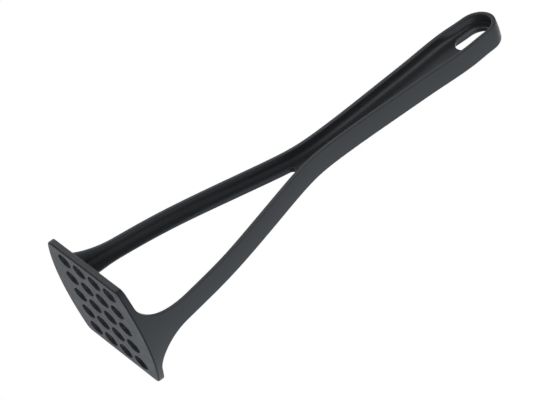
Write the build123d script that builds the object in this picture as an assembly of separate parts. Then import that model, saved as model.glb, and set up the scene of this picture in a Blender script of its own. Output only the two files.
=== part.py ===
from build123d import *
import os

# A one-piece nylon potato masher: a perforated plate, two legs that rise from its sides, and an
# I-section handle that ends in a hanging loop. Millimetres, +Z up the handle.
# The origin is the centre of the mashing face, X runs across the legs and Y through the handle's depth.

# Overall: the outer strap runs up both legs and round the loop, with a web a little behind its mid-depth
height = 302.0
strap_depth = 13.6
strap_wall = 3.2
strap_edge_round = 0.5
web_thickness = 2.0
web_set_back = 0.8

# Mashing plate
plate_width = 96.4
plate_depth = 71.6
plate_thickness = 4.2
plate_side_radius = 72.0
plate_corner_round = 4.0
plate_edge_round = 1.0

# Holes through the plate: ovals, longer across the legs
holes_across = 4
holes_deep = 5
hole_pitch_across = 16.5
hole_pitch_deep = 13.6
hole_length = 12.8
hole_width = 8.6
hole_edge_round = 0.5

# Legs, and the rounded triangular opening between them, whose sides lean in to the crotch by some degrees
leg_width_at_foot = 10.6
leg_width_at_crotch = 9.6
opening_foot_width = 65.6
opening_foot_height = 25.0
opening_foot_round = 0.8
crotch_height = 144.6
crotch_radius = 3.2
crotch_lean = 15.0
leg_joint_below_crotch = 12.6
lip_width = 2.0
lip_depth_at_foot = 2.2
lip_depth_at_crotch = 3.6

# Feet: on its way down to the plate the strap flares to the front and back in a quarter ellipse
flare_height = 29.0
flare_width = 17.8
foot_wall = 4.6

# Handle and hanging loop: the waist lies above the crotch, and the shoulder and the joint to the grip
# below the centre of the loop's round end
waist_above_crotch = 25.0
waist_width = 18.6
grip_width = 28.2
loop_radius = 13.2
shoulder_below_centre = 14.8
loop_joint_below_centre = 26.8
slot_ledge = 2.4
slot_length = 24.5

# Cuts run past the faces that they cut by this much, and a line is set in at this many places
overrun = 10.0
inset_steps = 12

# The outer line of a leg, from the plate to the waist: shares of the rise and of the lean that is left
leg_line_shares = (
    (0.155, 0.878), (0.350, 0.719), (0.543, 0.491), (0.736, 0.224), (0.833, 0.096), (0.911, 0.024),
)
foot_slope_share = 0.70
# The outer line of the grip, from the waist to the shoulder: shares of the rise and of the swell
grip_line_shares = ((0.25, 0.12), (0.50, 0.40), (0.75, 0.72))
# Where the flare of a foot is cut, as shares of its rise
flare_rise_shares = (0.0, 0.008, 0.03, 0.07, 0.14, 0.25, 0.42, 0.68, 1.0)
# Where the opening's line follows the leg, as shares of the rise from the plate to the crotch
opening_rise_shares = (0.25, 0.37, 0.49, 0.61, 0.74, 0.87)

half_depth = strap_depth / 2
leg_top_height = crotch_height - leg_joint_below_crotch
waist_height = crotch_height + waist_above_crotch
loop_centre_height = height - loop_radius
shoulder_height = loop_centre_height - shoulder_below_centre
loop_bottom_height = loop_centre_height - loop_joint_below_centre
inner_loop_radius = loop_radius - strap_wall
slot_radius = inner_loop_radius - slot_ledge
slot_low_height = loop_centre_height + 2 * slot_radius - slot_length
foot_height = plate_thickness + flare_height
leg_lean = (plate_width - waist_width) / 2 / (waist_height - plate_thickness)


def between(low, high, share):
    return low + (high - low) * share


def leg_point(rise_share, lean_share):
    x = between(waist_width / 2, plate_width / 2, lean_share)
    z = between(plate_thickness, waist_height, rise_share)
    return (x, z)


def grip_point(rise_share, swell_share):
    x = between(waist_width / 2, grip_width / 2, swell_share)
    z = between(waist_height, shoulder_height, rise_share)
    return (x, z)


def leg_curve():
    foot_slope = (-foot_slope_share * leg_lean, 1)
    points = [leg_point(0, 1), *(leg_point(*shares) for shares in leg_line_shares), leg_point(1, 0)]
    return Spline(*points, tangents=(foot_slope, (0, 1)))


def grip_curve():
    loop_side = (loop_radius, loop_centre_height)
    points = [leg_point(1, 0), *(grip_point(*shares) for shares in grip_line_shares), grip_point(1, 1)]
    return Spline(*points, loop_side, tangents=((0, 1), (0, 1)))


def outer_x(z):
    """Half the width over the outer faces of the legs at the height z."""
    level = Line((0, z), (plate_width, z))
    return leg_curve().intersect(level)[0].X


def inset(curve, distance):
    """A curve that runs at a distance to the left of another one."""
    points = []
    for step in range(inset_steps + 1):
        along = curve % (step / inset_steps)
        points.append(curve @ (step / inset_steps) + Vector(-along.Y, along.X) * distance)
    return Spline(*points, tangents=(curve % 0, curve % 1))


def outline_face(distance):
    """The whole side outline, set in by a distance and run down past the plate's top."""
    leg = inset(leg_curve(), distance)
    grip = inset(grip_curve(), distance)
    below = leg @ 0 - (leg % 0) * overrun
    loop = RadiusArc(grip @ 1, (0, height - distance), distance - loop_radius)
    right = [Line(below, leg @ 0), leg, grip, loop]
    left = [mirror(edge, about=Plane.YZ) for edge in right]
    base = Line((-below.X, below.Y), below)
    return make_face(right + left + [base])


def opening_face(spread):
    """The rounded triangle from the plate's top to the crotch, spread outwards by a distance."""
    foot = Vector(opening_foot_width / 2 + spread, opening_foot_height)
    points = [foot]
    for share in opening_rise_shares:
        z = between(plate_thickness, crotch_height, share)
        width = between(leg_width_at_foot, leg_width_at_crotch, share)
        points.append(Vector(outer_x(z) - width + spread, z))
    arm = Vector(crotch_radius + spread, 0).rotate(Axis.Z, crotch_lean)
    neck = Vector(0, crotch_height - crotch_radius) + arm
    low = Vector(foot.X, plate_thickness)
    side = Spline(*points, neck, tangents=((0, 1), (-arm.Y, arm.X)))
    right = [Line(low, foot), side, RadiusArc(neck, (0, crotch_height + spread), -arm.length)]
    left = [mirror(edge, about=Plane.YZ) for edge in right]
    face = make_face(right + left + [Line((-low.X, low.Y), low)])
    feet = face.vertices().group_by(Axis.Y)[0]
    return fillet(feet, opening_foot_round)


def slot_face():
    """The hang hole in the web, concentric with the loop's round end."""
    low = Pos(0, slot_low_height) * Circle(slot_radius)
    high = Pos(0, loop_centre_height) * Circle(slot_radius)
    middle = Pos(0, (slot_low_height + loop_centre_height) / 2)
    return low + high + middle * Rectangle(2 * slot_radius, slot_length - 2 * slot_radius)


def prism(face, depth):
    """A face of the XZ outline, extruded evenly about the strap's mid-plane."""
    return extrude(Plane.XZ * face, amount=depth / 2, both=True)


def band(low, high):
    """A block that holds everything of the side outline between two heights."""
    middle = Pos(0, 0, (low + high) / 2)
    return middle * Box(plate_width + overrun, plate_depth + overrun, high - low)


def lip_wedge():
    """The lip round the opening is deeper at the crotch than at the feet."""
    low = lip_depth_at_foot / 2
    high = lip_depth_at_crotch / 2
    top = crotch_height + lip_width + overrun
    section = Polyline(
        (-low, plate_thickness), (low, plate_thickness), (high, crotch_height), (high, top), (-high, top),
        (-high, crotch_height), close=True,
    )
    return extrude(Plane.YZ * make_face(section), amount=plate_width, both=True)


def strap_rims(solid, low, high):
    """The long edges of the strap's front and back faces between two heights."""
    rims = ShapeList()
    for y in (-half_depth, half_depth):
        for edge in solid.edges().filter_by_position(Axis.Y, y, y):
            box = edge.bounding_box()
            crosses = box.max.Z - box.min.Z < strap_wall and edge.length < 2 * strap_wall
            if low < edge.center().Z < high and not crosses:
                rims.append(edge)
    return rims


def plate_solid():
    """The perforated plate: bowed at the leg sides, straight at the front and back."""
    shift = plate_side_radius - plate_width / 2
    plan = (Pos(-shift, 0) * Circle(plate_side_radius)) & (Pos(shift, 0) * Circle(plate_side_radius))
    plan &= Rectangle(plate_width, plate_depth)
    plan = fillet(plan.vertices(), plate_corner_round)
    plate = extrude(plan, amount=plate_thickness)
    plate = fillet(plate.edges().group_by(Axis.Z)[0], plate_edge_round)
    hole = extrude(Ellipse(hole_length / 2, hole_width / 2), amount=plate_thickness)
    for column in range(holes_across):
        for row in range(holes_deep):
            x = (column - (holes_across - 1) / 2) * hole_pitch_across
            y = (row - (holes_deep - 1) / 2) * hole_pitch_deep
            plate -= Pos(x, y, 0) * hole
    return fillet(plate.edges().filter_by(GeomType.ELLIPSE), hole_edge_round)


def foot_section(rise_share):
    """A level cut through the right foot's strap: it follows the plate's bowed side."""
    z = between(plate_thickness, foot_height, rise_share)
    widening_share = 1 - (1 - (1 - rise_share) ** 2) ** 0.5
    reach = half_depth + flare_width * widening_share
    wall = between(strap_wall, foot_wall, widening_share)
    outer = outer_x(z) if rise_share else plate_width / 2
    drop = outer_bow(reach) * (1 - rise_share)
    outer_line = Bezier((outer - drop, -reach), (outer + drop, 0), (outer - drop, reach))
    inner_line = Pos(-wall, 0) * outer_line
    front = Line(outer_line @ 0, inner_line @ 0)
    back = Line(outer_line @ 1, inner_line @ 1)
    return Pos(0, 0, z) * make_face([outer_line, back, inner_line, front])


def outer_bow(y):
    """How far the plate's bowed side falls back at y from its middle."""
    return plate_side_radius - (plate_side_radius ** 2 - y ** 2) ** 0.5


def keep(solids, sign):
    """The solids on one side of the YZ plane."""
    return [solid for solid in solids if solid.center().X * sign > 0]


def leg_solid(frame, foot, sign):
    """One leg: the strap with its flared foot, and the web with its lip."""
    upper = frame & band(foot_height, leg_top_height)
    lower = (web + lip) & band(plate_thickness, foot_height)
    pieces = keep(upper.solids(), sign) + keep(lower.solids(), sign)
    leg = foot
    for piece in pieces:
        leg += piece
    return leg


outline = outline_face(0)
inner_outline = outline_face(strap_wall)
opening = opening_face(0)
slot = slot_face()

strap = prism(outline - inner_outline, strap_depth)
strap = fillet(strap_rims(strap, plate_thickness, height), strap_edge_round)
web = Pos(0, web_set_back) * prism(inner_outline - opening - slot, web_thickness)
lip = prism((opening_face(lip_width) & inner_outline) - opening, strap_depth) & lip_wedge()
lip = Pos(0, web_set_back) * lip
frame = strap + web + lip

right_foot = loft([foot_section(share) for share in flare_rise_shares])
left_foot = mirror(right_foot, about=Plane.YZ)

nodes = {
    "mash_plate": plate_solid(),
    "right_leg": leg_solid(frame, right_foot, 1),
    "left_leg": leg_solid(frame, left_foot, -1),
    "handle_grip": frame & band(leg_top_height, loop_bottom_height),
    "hanging_loop": frame & band(loop_bottom_height, height + overrun),
}

os.makedirs("parts", exist_ok=True)
for name, solid in nodes.items():
    export_step(solid, f"parts/{name}.step")
    print(name, round(solid.volume), "cubic millimetres")
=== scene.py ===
from math import asin, cos, pi, radians, sin, sqrt, tan

import bmesh
import bpy
import numpy as np
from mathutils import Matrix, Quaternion, Vector
from mathutils.geometry import delaunay_2d_cdt


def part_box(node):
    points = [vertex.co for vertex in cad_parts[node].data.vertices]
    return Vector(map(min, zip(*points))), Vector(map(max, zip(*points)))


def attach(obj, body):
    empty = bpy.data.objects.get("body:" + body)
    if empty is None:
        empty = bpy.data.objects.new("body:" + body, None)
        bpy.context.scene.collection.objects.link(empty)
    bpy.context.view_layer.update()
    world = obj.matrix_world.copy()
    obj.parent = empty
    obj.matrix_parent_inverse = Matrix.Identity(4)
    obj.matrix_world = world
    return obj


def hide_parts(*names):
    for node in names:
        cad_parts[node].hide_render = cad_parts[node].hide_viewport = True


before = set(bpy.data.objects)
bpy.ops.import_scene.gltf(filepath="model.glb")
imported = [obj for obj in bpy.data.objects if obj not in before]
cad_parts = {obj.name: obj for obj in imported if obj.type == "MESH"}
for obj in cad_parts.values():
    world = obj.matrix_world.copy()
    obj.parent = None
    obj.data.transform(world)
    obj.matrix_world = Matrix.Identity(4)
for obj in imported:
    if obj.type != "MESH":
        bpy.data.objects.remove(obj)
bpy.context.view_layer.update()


# The photograph's view
# A long lens looks up from below the plate, and is turned about its axis so that the handle rises to
# the upper right. The masher's sizes are in millimetres, and MM turns them to metres.
MM = 0.001
camera_spot = Vector((1434.3, -1179.2, -441.0)) * MM
camera_aim = Vector((30.3, -16.6, 112.2)) * MM
camera_turn = radians(53.38)
camera_lens = 217.98
camera_frame = 36.0

camera = bpy.data.objects.new("camera", bpy.data.cameras.new("camera"))
camera.data.lens = camera_lens
camera.data.sensor_width = camera_frame
camera.location = camera_spot
upright = (camera_aim - camera_spot).to_track_quat("-Z", "Y")
camera.rotation_euler = (upright @ Quaternion((0, 0, 1), camera_turn)).to_euler()
bpy.context.scene.collection.objects.link(camera)
bpy.context.scene.camera = camera


# The material: nylon filled with short glass fibres, dyed through in charcoal
# It is moulded against a finely eroded steel tool, which leaves a satin skin with a soft, broad
# highlight, a very fine grain and faint cloudy streaks where the melt flowed.
nylon_charcoal = "26292D"
nylon_cloud = "2D3135"
nylon_ior = 1.53
nylon_roughness = 0.37
gloss_gain = 0.03
gloss_loss = 0.04
cloud_size = 9.0
cloud_detail = 3
cloud_roughness = 0.55
cloud_low = 0.3
cloud_high = 0.7
# The real grain is finer than a tenth of a millimetre, and is drawn coarser so that it shows
grain_size = 0.35
grain_detail = 2
grain_roughness = 0.6
grain_depth = 0.03
grain_strength = 0.25


def linear(hex_colour):
    """The linear colour of an sRGB hex value."""
    channels = []
    for start in (0, 2, 4):
        value = int(hex_colour[start:start + 2], 16) / 255
        channels.append(value / 12.92 if value <= 0.04045 else ((value + 0.055) / 1.055) ** 2.4)
    return (*channels, 1)


def add_node(tree, kind, inputs=None, **settings):
    """Adds a shader node with its settings. An input that is given as a socket is linked."""
    node = tree.nodes.new(kind)
    for name, value in settings.items():
        setattr(node, name, value)
    for name, value in (inputs or {}).items():
        if isinstance(value, bpy.types.NodeSocket):
            tree.links.new(value, node.inputs[name])
        else:
            node.inputs[name].default_value = value
    return node


def satin_nylon():
    """Dark satin nylon: its colour and gloss drift in clouds, and its grain is a shallow bump."""
    material = bpy.data.materials.new("satin_nylon")
    material.use_nodes = True
    tree = material.node_tree
    tree.nodes.clear()
    place = add_node(tree, "ShaderNodeTexCoord").outputs["Object"]
    clouds = add_node(tree, "ShaderNodeTexNoise", {
        "Vector": place, "Scale": 1 / (cloud_size * MM), "Detail": cloud_detail,
        "Roughness": cloud_roughness,
    })
    grain = add_node(tree, "ShaderNodeTexNoise", {
        "Vector": place, "Scale": 1 / (grain_size * MM), "Detail": grain_detail,
        "Roughness": grain_roughness,
    })
    colour = add_node(tree, "ShaderNodeMix", {
        "Factor": clouds.outputs["Fac"], "A": linear(nylon_charcoal), "B": linear(nylon_cloud),
    }, data_type="RGBA")
    gloss = add_node(tree, "ShaderNodeMapRange", {
        "Value": clouds.outputs["Fac"], "From Min": cloud_low, "From Max": cloud_high,
        "To Min": nylon_roughness - gloss_gain, "To Max": nylon_roughness + gloss_loss,
    })
    bump = add_node(tree, "ShaderNodeBump", {
        "Height": grain.outputs["Fac"], "Strength": grain_strength, "Distance": grain_depth * MM,
    })
    surface = add_node(tree, "ShaderNodeBsdfPrincipled", {
        "Base Color": colour.outputs["Result"], "Roughness": gloss.outputs["Result"],
        "IOR": nylon_ior, "Normal": bump.outputs["Normal"],
    })
    add_node(tree, "ShaderNodeOutputMaterial", {"Surface": surface.outputs["BSDF"]})
    return material


nylon = satin_nylon()


# The outer strap: one nylon wall that runs up both legs, narrows to the waist and goes round the loop
# It is moulded with the web inside it. Its outer face is slightly crowned, its rims are rounded off, and
# a cove joins it to the web, which lies a little behind mid-depth.

# The right leg's side is laid out and then mirrored. Its front half is side -1 and its back half side 1,
# and in each of them y grows away from the strap's mid-depth.
plate_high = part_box("mash_plate")[1] / MM
loop_low, loop_high = (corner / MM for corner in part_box("hanging_loop"))
leg_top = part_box("right_leg")[1].z / MM
plate_top = plate_high.z
half_depth = loop_high.y
strap_wall = 3.2
strap_edge = 0.5
rim_edge = 0.5
rim_edge_rise_share = 0.45
leg_cove = 2.6
grip_cove = 4.2
grip_cove_from = 150.0
grip_cove_to = 185.0
loop_cove = 1.3
loop_wall_loss = 0.1
loop_wall_from = 262.0
loop_wall_to = 290.0
web_half = 1.0
web_set_back = 0.8
web_loss_at_foot = 0.4
web_thin_to = 40.0
web_full_from = 100.0
plate_side_radius = 72.0
loop_radius = 13.2
loop_centre = loop_high.z - loop_radius
upright_below = 2.4
lean_from = 30.0
lean_full = 60.0
outer_line_points = (
    (upright_below, plate_high.x), (12.1, 47.1), (29.9, 43.55), (62.1, 37.25), (94.0, 28.4),
    (126.0, 18.0), (142.0, 13.05), (154.8, 10.22), (169.6, 9.3), (195.7, 9.88), (221.8, 11.24),
    (247.9, 12.79), (274.0, 14.1), (loop_centre, loop_radius),
)


def smooth_line(points, start_slope, end_slope):
    """A cubic spline through (height, x) points. It gives x and its slope at a height."""
    height, x = np.array(points).T
    step = np.diff(height)
    rise = np.diff(x) / step
    count = len(points)
    system = np.identity(count)
    right = np.array([start_slope] + [0.0] * (count - 2) + [end_slope])
    for i in range(1, count - 1):
        system[i, i - 1:i + 2] = step[i], 2 * (step[i - 1] + step[i]), step[i - 1]
        right[i] = 3 * (step[i] * rise[i - 1] + step[i - 1] * rise[i])
    slope = np.linalg.solve(system, right)

    def at(z):
        i = int(np.clip(np.searchsorted(height, z) - 1, 0, count - 2))
        t = (z - height[i]) / step[i]
        bend_0 = slope[i] - rise[i]
        bend_1 = slope[i + 1] - rise[i]
        straight = x[i] + rise[i] * (z - height[i])
        value = straight + step[i] * t * (1 - t) * (bend_0 * (1 - t) - bend_1 * t)
        change = (1 - t) * (1 - 3 * t) * bend_0 - t * (2 - 3 * t) * bend_1
        return value, rise[i] + change

    return at


def smooth_share(value, low, high):
    """Rises from 0 at low to 1 at high, level at both ends."""
    share = min(max((value - low) / (high - low), 0), 1)
    return share * share * (3 - 2 * share)


outer_x = smooth_line(outer_line_points, 0, 0)


def outer_line(along):
    """A point of the outer line and the direction into the strap, both as (x, z).
    Along is the height, and past the loop's centre the length round its end."""
    if along > loop_centre:
        turn = (along - loop_centre) / loop_radius
        outward = np.array((cos(turn), sin(turn)))
        return np.array((0, loop_centre)) + loop_radius * outward, -outward
    x, slope = outer_x(along)
    inward = np.array((-1, slope * smooth_share(along, lean_from, lean_full)))
    return np.array((x, along)), inward / np.linalg.norm(inward)


def crown(y):
    """How far the outer face falls back at a depth, as the plate's bowed side does."""
    return plate_side_radius - sqrt(plate_side_radius ** 2 - y ** 2)


def swell(rise, radius):
    """How far a fillet stands out from its wall at some height over the plate."""
    left = radius - min(max(rise, 0), radius)
    return radius - sqrt(radius ** 2 - left ** 2)


# The feet: towards the plate the strap flares to the front and back in a quarter ellipse
# They are moulded with the plate. The flare rises higher in front and runs out level into the plate's
# edge, so its rim turns from the front to the top, and its wall thickens a little to carry the load.
flare_heights = {-1: 34.0, 1: 25.5}
flare_width = 17.8
foot_wall_extra = 1.4
foot_wall_fade = 6.0
base_fillet = 0.8
face_steps = 8
edge_steps = 6
rim_steps = 3
rim_edge_steps = 4
wall_steps = 6
cove_steps = 5
web_steps = 4


def quarter(steps):
    """The sines and cosines of a quarter turn in equal steps."""
    return [(sin(pi / 2 * k / steps), cos(pi / 2 * k / steps)) for k in range(steps + 1)]


def web_floor(along, side):
    """The depth of the web's face from mid-depth. The web is thinner towards the feet."""
    thin_share = 1 - smooth_share(along, web_thin_to, web_full_from)
    return web_half - web_loss_at_foot * thin_share + side * web_set_back


def strap_section(along, side):
    """One row of points across the strap, from the middle of its outer face to the web."""
    rise = along - plate_top
    loop_share = smooth_share(along, loop_wall_from, loop_wall_to)
    grip_share = smooth_share(along, grip_cove_from, grip_cove_to)
    cove = leg_cove + (grip_cove - leg_cove) * grip_share
    cove += (loop_cove - cove) * loop_share
    flare_height = flare_heights[side]
    turn = asin(max(1 - rise / flare_height, 0))
    widening = 1 - cos(turn)
    reach = half_depth + flare_width * widening
    outward = np.array((cos(turn) / flare_width, sin(turn) / flare_height))
    out_y, out_z = outward / np.linalg.norm(outward)
    edge_y = reach - strap_edge * out_y
    extra = foot_wall_extra * np.exp(-rise / foot_wall_fade) + swell(rise, base_fillet)
    wall = strap_wall - loop_wall_loss * loop_share + extra
    rim_wall = wall + crown(reach) * widening
    small = min(rim_edge, rim_edge_rise_share * rise)
    floor_y = web_floor(along, side) + swell(rise, base_fillet)
    row = []

    def add(depth, y, below=0):
        point, inward = outer_line(along - below)
        x, z = point + depth * inward
        row.append((x, y, z))

    # The crowned outer face and its rounded edge
    for k in range(face_steps):
        y = edge_y * k / face_steps
        add(crown(y), y, strap_edge * out_z)
    for s, c in quarter(edge_steps):
        depth = crown(edge_y) + strap_edge * (1 - c)
        add(depth, edge_y + strap_edge * out_y * s, strap_edge * out_z * (1 - s))

    # The rim and its inner edge
    rim_start = crown(edge_y) + strap_edge
    for k in range(1, rim_steps):
        add(rim_start + (rim_wall - small - rim_start) * k / rim_steps, reach)
    for s, c in quarter(rim_edge_steps):
        add(rim_wall - small * (1 - s), reach - small * out_y * (1 - c), small * out_z * (1 - c))

    # The inner side of the wall and the cove
    wall_y = reach - small * out_y
    for k in range(1, wall_steps):
        y = wall_y + (floor_y + cove - wall_y) * k / wall_steps
        add(wall + crown(y) * widening, y, small * out_z * (1 - k / wall_steps))
    for s, c in quarter(cove_steps):
        depth = wall + crown(floor_y + cove) * widening + cove * (1 - c)
        add(depth, floor_y + cove * (1 - s))
    return row


def web_row(start, end, side):
    """Points across the web's face, after its start and up to its end, both given as (x, z)."""
    row = []
    for k in range(1, web_steps + 1):
        x, z = start + (end - start) * k / web_steps
        row.append((x, web_floor(z, side) + swell(z - plate_top, base_fillet), z))
    return row


# The legs: between them the web is cut away in a rounded triangle, up to the crotch
# A lip is moulded round the opening to stiffen it. It stands a little proud of the web, more so towards
# the crotch, and dies out into the web on its outer side.
opening_half = 32.8
opening_upright = 25.0
crotch_top = 144.6
crotch_radius = 3.2
crotch_lean = radians(15)
crotch_centre = crotch_top - crotch_radius
crotch_neck = crotch_centre + crotch_radius * sin(crotch_lean)
opening_rise_shares = (0.25, 0.37, 0.49, 0.61, 0.74, 0.87)
leg_width_at_foot = 10.8
leg_width_at_crotch = 9.75
lip_foot = 2.0
lip_slope = 1.65
lip_crest = 1.3
lip_low = 0.7
lip_high = 1.75
lip_low_to = 35.0
lip_high_from = 130.0
lip_edge = 0.4
lip_base_fillet = 0.35
flare_rows = 32
leg_rows = 28
crotch_rows = 9
crotch_from = 146.4
crotch_to = 149.9

opening_points = [(opening_upright, opening_half)]
for share in opening_rise_shares:
    z = plate_top + (crotch_top - plate_top) * share
    width = leg_width_at_foot + (leg_width_at_crotch - leg_width_at_foot) * share
    opening_points.append((z, outer_x(z)[0] - width))
opening_points.append((crotch_neck, crotch_radius * cos(crotch_lean)))
opening_x = smooth_line(opening_points, 0, -tan(crotch_lean))


def opening_edge(along):
    """A point of the opening's edge and the direction into the web, for a row of the strap."""
    if along > crotch_from:
        share = (along - crotch_from) / (crotch_to - crotch_from)
        turn = crotch_lean + (pi / 2 - crotch_lean) * share
        into = np.array((cos(turn), sin(turn)))
        return np.array((0, crotch_centre)) + crotch_radius * into, into
    z = plate_top + (along - plate_top) * (crotch_neck - plate_top) / (crotch_from - plate_top)
    x, slope = opening_x(z) if z > opening_upright else (opening_half, 0)
    into = np.array((1, -slope))
    return np.array((x, z)), into / np.linalg.norm(into)


def leg_row(along, side):
    """A row from the strap's outer face over the web and the lip to the middle of the opening's edge."""
    strap = strap_section(along, side)
    edge, into = opening_edge(along)
    cove_end = np.array(strap[-1])[[0, 2]]
    row = strap + web_row(cove_end, edge + lip_foot * into, side)
    rise = max(edge[1] - plate_top, 0)
    middle = side * web_set_back
    top = lip_low + (lip_high - lip_low) * smooth_share(edge[1], lip_low_to, lip_high_from)
    crest = top + swell(rise, base_fillet) + middle
    back = swell(rise, lip_base_fillet)
    corner = lip_edge * (1 - sqrt(0.5))
    profile = (
        (lip_slope, (web_floor(edge[1], side) + crest) / 2),
        (lip_crest, crest),
        (lip_edge, crest),
        (corner - back * sqrt(0.5), crest - corner),
        (-back, top - lip_edge + middle),
        (-back, middle),
    )
    for depth, y in profile:
        x, z = edge + depth * into
        row.append((x, y, z))
    return row


flare_turns = np.linspace(0, pi / 2, flare_rows + 1)
foot_rows = [plate_top + max(flare_heights.values()) * (1 - cos(turn)) for turn in flare_turns]
leg_heights = list(np.linspace(foot_rows[-1], crotch_from, leg_rows + 1)[1:])
crotch_heights = list(np.linspace(crotch_from, crotch_to, crotch_rows + 1)[1:])
row_heights = foot_rows + leg_heights + crotch_heights
leg_grids = {side: [leg_row(along, side) for along in row_heights] for side in (-1, 1)}


# The grip: the legs' straps run on side by side, and the web closes between them
# It has the section of a rolled joist, so that a thin moulding is stiff and shows no sink marks. It is
# narrowest at the waist and swells to fill the hand.
grip_rows = 31
grip_to = 271.8
slot_radius = 7.6
slot_length = 24.0
slot_edge = 0.4
slot_low = loop_centre + 2 * slot_radius - slot_length
slot_bottom = slot_low - slot_radius

web_heights = np.linspace(crotch_top + lip_foot, slot_bottom - slot_edge, grip_rows + 1)


def grip_grid(side):
    """Rows across the strap and the web, from the crotch to the slot."""
    grid = []
    for along, web_z in zip(np.linspace(crotch_to, grip_to, grip_rows + 1), web_heights):
        strap = strap_section(along, side)
        cove_end = np.array(strap[-1])[[0, 2]]
        grid.append(strap + web_row(cove_end, np.array((0, web_z)), side))
    return grid


# The hanging loop: the strap closes in a half circle round a slot through the web
# The slot is moulded, not cut. A narrow ledge of the web is left inside the strap, and the slot's edge
# is broken by a small round.
slot_turn_rows = 12
slot_side_rows = 3
loop_turn_rows = 16


def slot_rows():
    """For each row round the loop: the length along the strap, and the slot's edge and its normal."""
    lengths = np.linspace(grip_to, slot_low, slot_turn_rows + 1)
    turns = np.linspace(-pi / 2, 0, slot_turn_rows + 1)
    for along, turn in zip(lengths, turns):
        into = np.array((cos(turn), sin(turn)))
        yield along, np.array((0, slot_low)) + slot_radius * into, into
    for along in np.linspace(slot_low, loop_centre, slot_side_rows + 1)[1:]:
        yield along, np.array((slot_radius, along)), np.array((1, 0))
    for turn in np.linspace(0, pi / 2, loop_turn_rows + 1)[1:]:
        into = np.array((cos(turn), sin(turn)))
        yield loop_centre + loop_radius * turn, np.array((0, loop_centre)) + slot_radius * into, into


def loop_grid(side):
    """Rows across the strap and the ledge, over the slot's edge to the middle of its wall."""
    grid = []
    middle = side * web_set_back
    corner = slot_edge * (1 - sqrt(0.5))
    for along, edge, into in slot_rows():
        strap = strap_section(along, side)
        cove_end = np.array(strap[-1])[[0, 2]]
        row = strap + web_row(cove_end, edge + slot_edge * into, side)
        for depth, y in ((corner, web_half - corner), (0, web_half - slot_edge), (0, 0)):
            x, z = edge + depth * into
            row.append((x, y + middle, z))
        grid.append(row)
    return grid


# The mashing plate: flat and perforated, bowed at the two sides that carry the legs
# It is moulded with the legs. Its top edge is rounded as the strap's is, its mashing face a little
# more, and the mould leaves a small round at both ends of each oval hole.
plate_depth = plate_high.y
corner_radius = 5.5
face_edge = 1.0
hole_columns = 4
hole_rows = 5
hole_pitch_x = 16.5
hole_pitch_y = 13.6
hole_half_length = 6.4
hole_half_width = 4.3
hole_top_edge = 0.3
hole_face_edge = 0.5
side_steps = 4
corner_steps = 8
front_steps = 12
hole_steps = 40
hole_edge_steps = 4
same_point = 1e-6

foot = leg_grids[1][0]
side_centre = plate_high.x - plate_side_radius
corner_y = plate_depth - corner_radius
corner_x = side_centre + sqrt((plate_side_radius - corner_radius) ** 2 - corner_y ** 2)
corner_turn = asin(corner_y / (plate_side_radius - corner_radius))
tail_turn = asin(foot[face_steps][1] / plate_side_radius)


def side_point(turn):
    """A point of the plate's bowed side and the direction inwards, both as (x, y)."""
    out = np.array((cos(turn), sin(turn)))
    return np.array((side_centre, 0)) + plate_side_radius * out, -out


def rounded_edge(point, inward, radius, z, down):
    """A column of points over a rounded edge, from the plate's side to its top or its mashing face."""
    column = []
    for s, c in quarter(edge_steps):
        x, y = point + radius * (1 - c) * inward
        column.append((x, y, z + down * radius * (1 - s)))
    return column


def oval(x, y, spread, z):
    """Points round a hole. One on the plate's middle line has only half of its points."""
    if y > 0:
        turns = np.linspace(0, 2 * pi, hole_steps + 1)[:-1]
    else:
        turns = np.linspace(0, pi, hole_steps // 2 + 1)
    half_length = hole_half_length + spread
    half_width = hole_half_width + spread
    return [(x + half_length * cos(turn), y + half_width * sin(turn), z) for turn in turns]


def inside(point, loops):
    """True where a point lies within the first loop and outside the others."""
    crossings = 0
    for loop in loops:
        for (x0, y0, _), (x1, y1, _) in zip(loop, loop[1:] + loop[:1]):
            if (y0 > point[1]) != (y1 > point[1]):
                crossings += point[0] < x0 + (point[1] - y0) / (y1 - y0) * (x1 - x0)
    return crossings % 2 == 1


def level_area(outline, holes):
    """Triangles over a level area, round its holes."""
    loops = [outline, *holes]
    corners = [corner for loop in loops for corner in loop]
    edges = []
    for loop in loops:
        start = len(edges)
        edges += [(start + k, start + (k + 1) % len(loop)) for k in range(len(loop))]
    flat = [Vector(corner[:2]) for corner in corners]
    _, _, triangles, sources, _, _ = delaunay_2d_cdt(flat, edges, [], 0, same_point)
    area = []
    for triangle in triangles:
        face = [corners[sources[k][0]] for k in triangle]
        if inside(np.mean(face, axis=0), loops):
            area.append(face)
    return area


def strips(rows, closed=False):
    """Quads between rows of points that lie side by side."""
    quads = []
    for first, second in zip(rows, rows[1:]):
        if closed:
            first, second = first + first[:1], second + second[:1]
        quads += [list(quad) for quad in zip(first, first[1:], second[1:], second)]
    return quads


# The plate's rim runs along the foot, on round the corner and along the straight side
rim = [side_point(asin(point[1] / plate_side_radius)) for point in foot[:face_steps + 1]]
rim += [side_point(turn) for turn in np.linspace(tail_turn, corner_turn, side_steps + 1)[1:]]
for turn in np.linspace(corner_turn, pi / 2, corner_steps + 1)[1:]:
    out = np.array((cos(turn), sin(turn)))
    rim.append((np.array((corner_x, corner_y)) + corner_radius * out, -out))
for x in np.linspace(corner_x, 0, front_steps + 1)[1:]:
    rim.append((np.array((x, plate_depth)), np.array((0, -1))))

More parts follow.
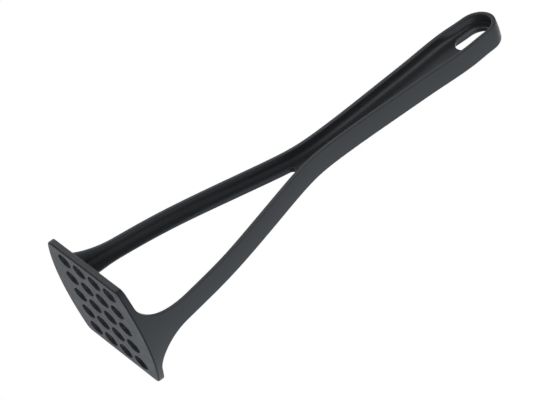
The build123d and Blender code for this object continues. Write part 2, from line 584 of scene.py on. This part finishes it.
# Its top edge starts as the foot's, rounded along X, and turns to be rounded square to the plate's side
top_edge = [foot[face_steps:face_steps + edge_steps + 1]]
for k, (point, inward) in enumerate(rim[face_steps + 1:], 1):
    share = min(k / side_steps, 1)
    aim = inward * share + np.array((-1, 0)) * (1 - share)
    top_edge.append(rounded_edge(point, aim / np.linalg.norm(aim), strap_edge, plate_top, -1))
face_rim = [rounded_edge(point, inward, face_edge, 0, 1) for point, inward in rim]
side_top = foot[:face_steps] + [column[0] for column in top_edge]
side_foot = [column[0] for column in face_rim]
plate_quads = strips(top_edge) + strips(face_rim) + strips([side_top, side_foot])

hole_places = []
for column in range(hole_columns // 2):
    for row in range(hole_rows // 2 + 1):
        hole_places.append(((column + 0.5) * hole_pitch_x, row * hole_pitch_y))
for x, y in hole_places:
    rings = []
    for s, c in quarter(hole_edge_steps):
        rings.append(oval(x, y, hole_face_edge * (1 - s), hole_face_edge * (1 - c)))
    for s, c in quarter(hole_edge_steps):
        rings.append(oval(x, y, hole_top_edge * (1 - c), plate_top - hole_top_edge * (1 - s)))
    plate_quads += strips(rings, closed=y > 0)


def plate_face(z, spread, border):
    """The level face of a quarter of the plate, from its middle out to a border."""
    outline = [(0, 0, z)]
    for x, y in hole_places:
        if y == 0:
            outline += oval(x, y, spread, z)[::-1]
    holes = [oval(x, y, spread, z) for x, y in hole_places if y > 0]
    return level_area(outline + border, holes)


def plate_top_face(side):
    """The plate's top runs up to the foot of the strap, the web and the lip."""
    foot_line = leg_grids[side][0][:face_steps + edge_steps - 1:-1]
    return plate_face(plate_top, hole_top_edge, foot_line + [column[-1] for column in top_edge[1:]])


plate_quads += plate_face(0, hole_face_edge, [column[-1] for column in face_rim])


# The five nodes: regions of one moulding
# The quarters are mirrored to the whole skin, and the skin is cut where the nodes meet. Each part is
# closed by hidden flat caps and keeps the shading of the uncut skin, so that no seam shows.
join_distance = 1e-4
place_digits = 4
level_normal = 0.99999

half_faces = {}
for side in (-1, 1):
    grip = grip_grid(side)
    crotch_row = leg_grids[side][-1][:len(grip[0])]
    leg_faces = strips(leg_grids[side])
    grip_faces = strips([crotch_row] + grip[1:])
    half_faces[side] = plate_quads + plate_top_face(side) + leg_faces + grip_faces
    half_faces[side] += strips(loop_grid(side))

skin = bmesh.new()
corners = {}
for side_x in (1, -1):
    for side_y in (1, -1):
        for face in half_faces[side_y]:
            loop = []
            for x, y, z in face:
                place = tuple(round(value, place_digits) for value in (side_x * x, side_y * y, z))
                if place not in corners:
                    corners[place] = skin.verts.new(place)
                if corners[place] not in loop:
                    loop.append(corners[place])
            if len(loop) > 2:
                skin.faces.new(loop)
for z in (plate_top, leg_top, loop_low.z):
    everything = skin.verts[:] + skin.edges[:] + skin.faces[:]
    bmesh.ops.bisect_plane(
        skin, geom=everything, dist=join_distance, plane_co=(0, 0, z), plane_no=(0, 0, 1),
    )
bmesh.ops.recalc_face_normals(skin, faces=skin.faces)

shading = skin.verts.layers.float_vector.new("shading")
for vert in skin.verts:
    level = [face.normal for face in vert.link_faces if abs(face.normal.z) > level_normal]
    mean = sum((face.normal * face.calc_area() for face in vert.link_faces), Vector())
    vert[shading] = level[0] if level else mean.normalized()


def moulding_part(name, node, belongs):
    """The part of the skin whose faces belong to a node, closed where it was cut."""
    part = skin.copy()
    layer = part.verts.layers.float_vector["shading"]
    others = [face for face in part.faces if not belongs(face.calc_center_median())]
    bmesh.ops.delete(part, geom=others, context="FACES")
    cut = [edge for edge in part.edges if edge.is_boundary]
    caps = set(bmesh.ops.edgeloop_fill(part, edges=cut)["faces"])
    bmesh.ops.recalc_face_normals(part, faces=part.faces)
    normals = []
    for face in part.faces:
        face.smooth = True
        normals += [face.normal if face in caps else vert[layer] for vert in face.verts]
    normals = [tuple(normal) for normal in normals]
    part.verts.layers.float_vector.remove(layer)
    bmesh.ops.scale(part, vec=(MM, MM, MM), verts=part.verts)
    mesh = bpy.data.meshes.new(name)
    part.to_mesh(mesh)
    part.free()
    mesh.normals_split_custom_set(normals)
    mesh.materials.append(nylon)
    piece = bpy.data.objects.new(name, mesh)
    bpy.context.scene.collection.objects.link(piece)
    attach(piece, "root")
    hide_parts(node)


leg_low = plate_top + join_distance
loop_bottom = loop_low.z
moulding_part("plate_moulding", "mash_plate", lambda at: at.z < leg_low)
moulding_part("right_leg_moulding", "right_leg", lambda at: leg_low < at.z < leg_top and at.x > 0)
moulding_part("left_leg_moulding", "left_leg", lambda at: leg_low < at.z < leg_top and at.x < 0)
moulding_part("grip_moulding", "handle_grip", lambda at: leg_top < at.z < loop_bottom)
moulding_part("loop_moulding", "hanging_loop", lambda at: loop_bottom < at.z)
skin.free()


# The stage: a plain white floor under plain soft studio light, laid out in metres
# The photograph looks up from below the floor, so the floor shows only from above, and light from below
# passes it.
floor_size = 6.0
floor_gap = 0.0002
floor_white = "E6E6E6"
studio_white = "FFFFFF"
studio_cool = "F3F8FF"
backdrop_strength = 1.0
fill_strength = 0.6
# The satin skin mirrors a room that is bright behind the masher, dark in front and below, and dimmer
# overhead. Each fade gives its axis, where it starts and ends, and the light at its start and end.
room_fades = (
    ("Y", -0.75, 0.4, 0.12, 1.0),
    ("Z", -0.8, 0.1, 0.05, 1.0),
    ("Z", 0.35, 0.9, 1.0, 0.55),
)
softbox_size = 1.2
softbox_aim = Vector((0, 0, 0.14))
softboxes = (
    ("key", (0.9, -1.1, 1.2), 5.0),
    ("fill", (-1.3, -0.7, 0.3), 3.0),
    ("under", (0.2, -0.5, -1.3), 1.5),
    ("back", (-0.8, 1.3, 1.1), 3.0),
)


def one_sided_floor():
    """White where the camera sees it from above, and clear to everything else."""
    material = bpy.data.materials.new("studio_floor")
    material.use_nodes = True
    tree = material.node_tree
    tree.nodes.clear()
    behind = add_node(tree, "ShaderNodeNewGeometry").outputs["Backfacing"]
    seen = add_node(tree, "ShaderNodeLightPath").outputs["Is Camera Ray"]
    front = add_node(tree, "ShaderNodeMath", {0: 1.0, 1: behind}, operation="SUBTRACT").outputs[0]
    shown = add_node(tree, "ShaderNodeMath", {0: seen, 1: front}, operation="MULTIPLY").outputs[0]
    matt = add_node(tree, "ShaderNodeBsdfDiffuse", {"Color": linear(floor_white)}).outputs["BSDF"]
    clear = add_node(tree, "ShaderNodeBsdfTransparent").outputs["BSDF"]
    mix = add_node(tree, "ShaderNodeMixShader", {0: shown, 1: clear, 2: matt}).outputs[0]
    add_node(tree, "ShaderNodeOutputMaterial", {"Surface": mix})
    return material


bpy.ops.mesh.primitive_plane_add(size=floor_size, location=(0, 0, -floor_gap))
floor = bpy.context.object
floor.name = "floor"
floor.data.materials.append(one_sided_floor())


def studio_room():
    """The world: white to the camera, even for soft light, and faded to the dark in reflections."""
    world = bpy.data.worlds.new("studio")
    world.use_nodes = True
    tree = world.node_tree
    tree.nodes.clear()
    rays = add_node(tree, "ShaderNodeLightPath")
    towards = add_node(tree, "ShaderNodeTexCoord").outputs["Generated"]
    axes = add_node(tree, "ShaderNodeSeparateXYZ", {"Vector": towards})
    room_light = 1.0
    for axis, start, end, start_light, end_light in room_fades:
        fade = add_node(tree, "ShaderNodeMapRange", {
            "Value": axes.outputs[axis], "From Min": start, "From Max": end,
            "To Min": start_light, "To Max": end_light,
        }, interpolation_type="SMOOTHSTEP")
        both = {0: room_light, 1: fade.outputs["Result"]}
        room_light = add_node(tree, "ShaderNodeMath", both, operation="MULTIPLY").outputs[0]
    mirrored = add_node(tree, "ShaderNodeBackground", {
        "Color": linear(studio_cool), "Strength": room_light,
    })
    soft = add_node(tree, "ShaderNodeBackground", {
        "Color": linear(studio_white), "Strength": fill_strength,
    })
    white = add_node(tree, "ShaderNodeBackground", {
        "Color": linear(studio_white), "Strength": backdrop_strength,
    })
    lit = add_node(tree, "ShaderNodeMixShader", {
        0: rays.outputs["Is Glossy Ray"], 1: soft.outputs[0], 2: mirrored.outputs[0],
    })
    shown = add_node(tree, "ShaderNodeMixShader", {
        0: rays.outputs["Is Camera Ray"], 1: lit.outputs[0], 2: white.outputs[0],
    })
    add_node(tree, "ShaderNodeOutputWorld", {"Surface": shown.outputs[0]})
    return world


bpy.context.scene.world = studio_room()

for name, spot, power in softboxes:
    lamp = bpy.data.lights.new(name, "AREA")
    lamp.size = softbox_size
    lamp.energy = power
    box = bpy.data.objects.new(name, lamp)
    box.location = spot
    box.rotation_euler = (softbox_aim - Vector(spot)).to_track_quat("-Z", "Y").to_euler()
    bpy.context.scene.collection.objects.link(box)

bpy.context.scene.view_settings.view_transform = "Standard"
